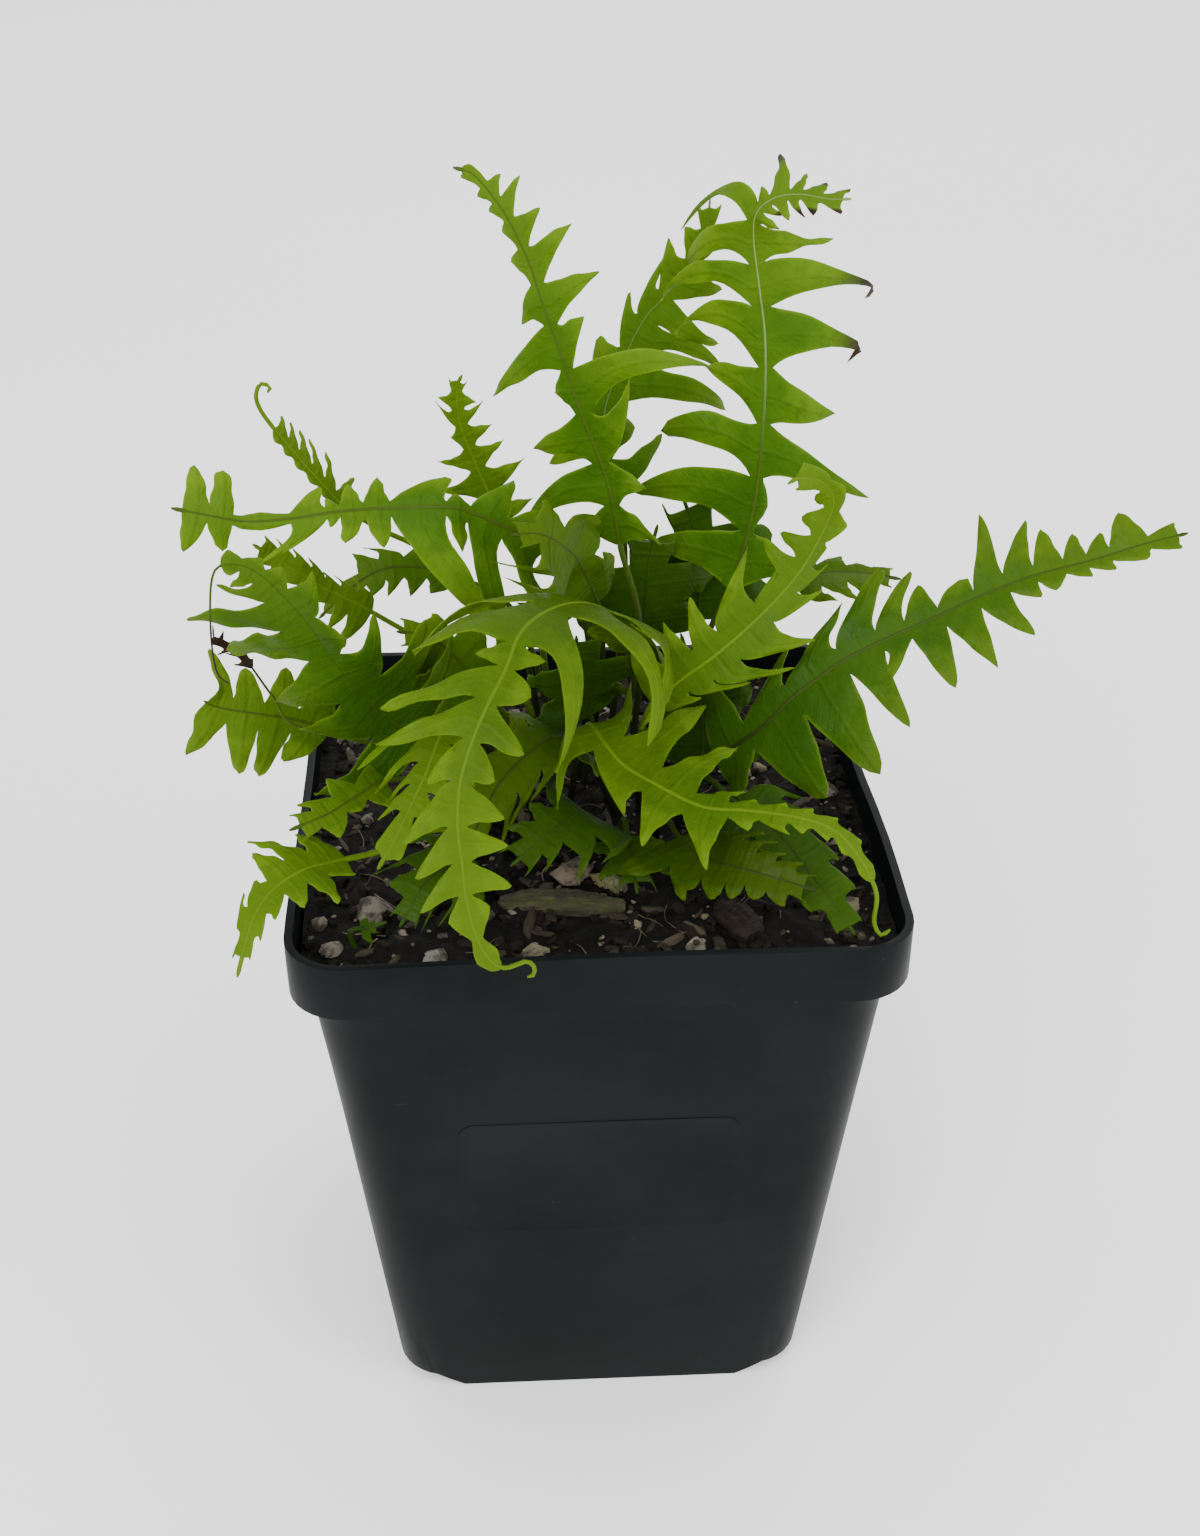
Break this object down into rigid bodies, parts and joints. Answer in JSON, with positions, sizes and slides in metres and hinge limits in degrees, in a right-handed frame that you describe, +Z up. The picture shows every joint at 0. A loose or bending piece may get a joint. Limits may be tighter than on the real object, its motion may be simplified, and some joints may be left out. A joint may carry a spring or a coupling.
{
  "type": "potted fern",
  "caption": "Young fern with toothed, deeply cut fronds arching out of lumpy soil in a square, tapering black nursery pot with a stepped-out rim and drain holes.",
  "frame": {"origin": "middle of the pot's underside, on the plane the pot stands on", "axes": "+Z up, the front of the pot towards -Y, +X to the right seen from the front"},
  "size_m": [0.1676, 0.1144, 0.2181],
  "materials": {
    "pot": "satin",
    "soil": "crumbly",
    "perlite": "chalky",
    "moss": "mossy",
    "bark": "rough",
    "young": "satin leaf",
    "mature": "satin leaf",
    "shaded": "satin leaf",
    "withered": "dry"
  },
  "bodies": {
    "root": {"pot": "pot", "soil": "soil", "pebble_back": "perlite", "pebble_yellow": "perlite", "pebble_left": "perlite", "perlite_corner": "perlite", "perlite_front_left": "perlite", "perlite_front": "perlite", "perlite_middle": "perlite", "perlite_right": "perlite", "perlite_right_back": "perlite", "perlite_back": "perlite", "mossy_strip": "moss", "bark_chip": "bark", "frond_tall_left": "mature", "frond_tall_right": "mature", "frond_back_grey": "mature", "frond_small_upright": "young", "frond_curl_left": "young", "frond_long_left": "mature", "frond_left_broad": "mature", "frond_bright_back_left": "young", "frond_left_hanging": "mature", "frond_withered": "withered", "frond_front_arch": "young", "frond_front_right": "young", "frond_right_broad": "mature", "frond_gold_right": "young", "frond_front_toothed": "mature", "frond_right_old": "shaded", "frond_corner_left": "young", "frond_low_left_grey": "mature", "frond_low_left_inner": "young", "frond_low_left_dark": "shaded", "frond_back_right": "mature", "frond_grey_left": "mature", "frond_centre_dark": "shaded", "frond_centre_broad": "shaded", "frond_centre_left": "mature", "frond_dark_front": "shaded", "frond_dark_middle": "shaded", "frond_sprout": "shaded", "frond_under_arch": "mature", "frond_left_behind": "mature", "frond_middle_dark": "shaded", "frond_right_dark": "shaded"}
  },
  "joints": []
}
